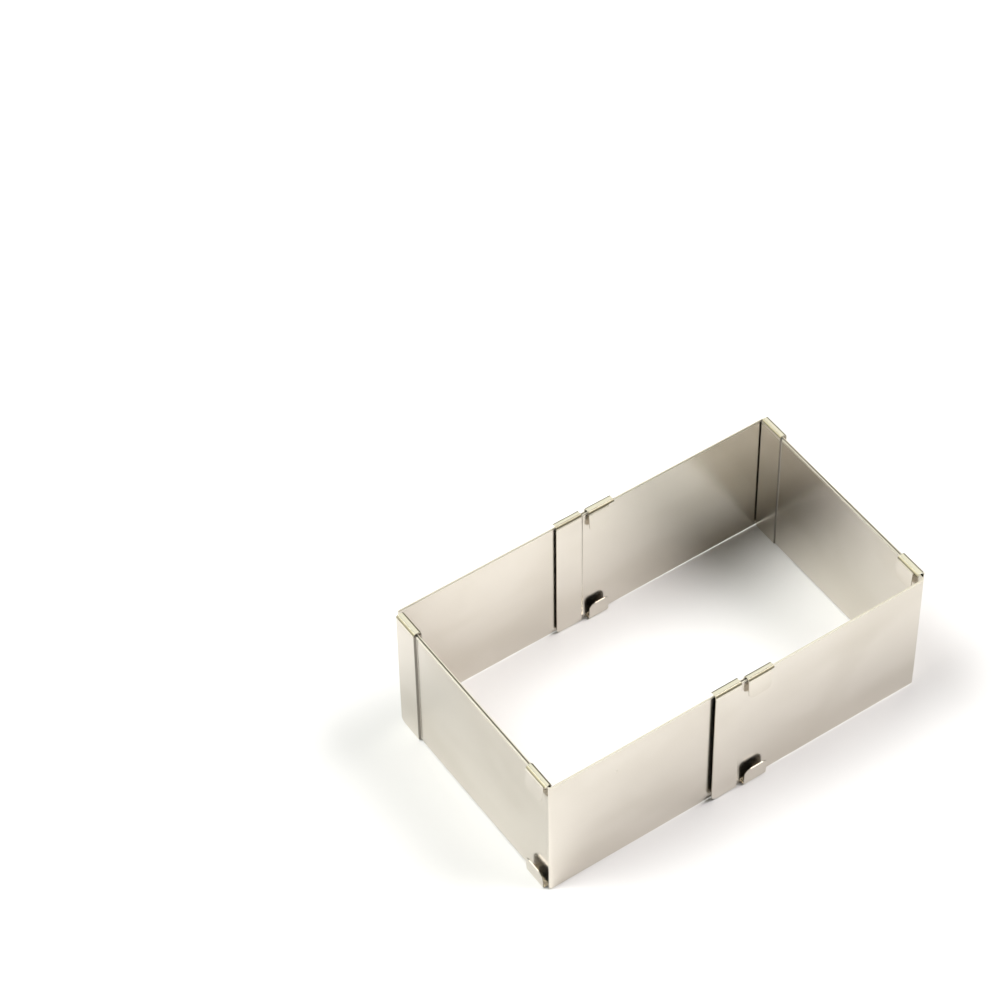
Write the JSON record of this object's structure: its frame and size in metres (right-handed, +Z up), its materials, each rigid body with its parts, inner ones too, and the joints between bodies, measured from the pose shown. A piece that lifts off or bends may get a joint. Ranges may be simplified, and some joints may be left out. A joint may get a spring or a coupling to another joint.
{
  "type": "adjustable cake frame",
  "caption": "Bottomless rectangular cake frame of L-shaped stainless steel panels; folded guides at the panel ends slide along the neighbouring sheets, so length and width adjust.",
  "frame": {"origin": "middle of the frame's footprint on the surface it rests on, as pictured: pulled out lengthwise, closed across", "axes": "+X along the long sides, +Y along the short sides from the front side to the back side, +Z up"},
  "size_m": [0.279, 0.1672, 0.1],
  "materials": {
    "stainless_steel": "satin"
  },
  "bodies": {
    "front_left": {"front_left_panel": "stainless_steel"},
    "front_right": {"front_right_panel": "stainless_steel"},
    "back_left": {"back_left_panel": "stainless_steel"},
    "back_right": {"back_right_panel": "stainless_steel"}
  },
  "joints": [
    {"name": "front_length_slide", "type": "slide", "parent": "front_left", "child": "front_right", "axis": [1, 0, 0], "range_m": [-0.1118, 0.0032]},
    {"name": "width_slide", "type": "slide", "parent": "front_left", "child": "back_left", "axis": [0, 1, 0], "range_m": [0, 0.115]},
    {"name": "back_length_slide", "type": "slide", "parent": "back_left", "child": "back_right", "axis": [1, 0, 0], "range_m": [-0.1118, 0.0032]}
  ],
  "couplings": [
    {"joint": "back_length_slide", "follows": "front_length_slide", "ratio": 1}
  ]
}
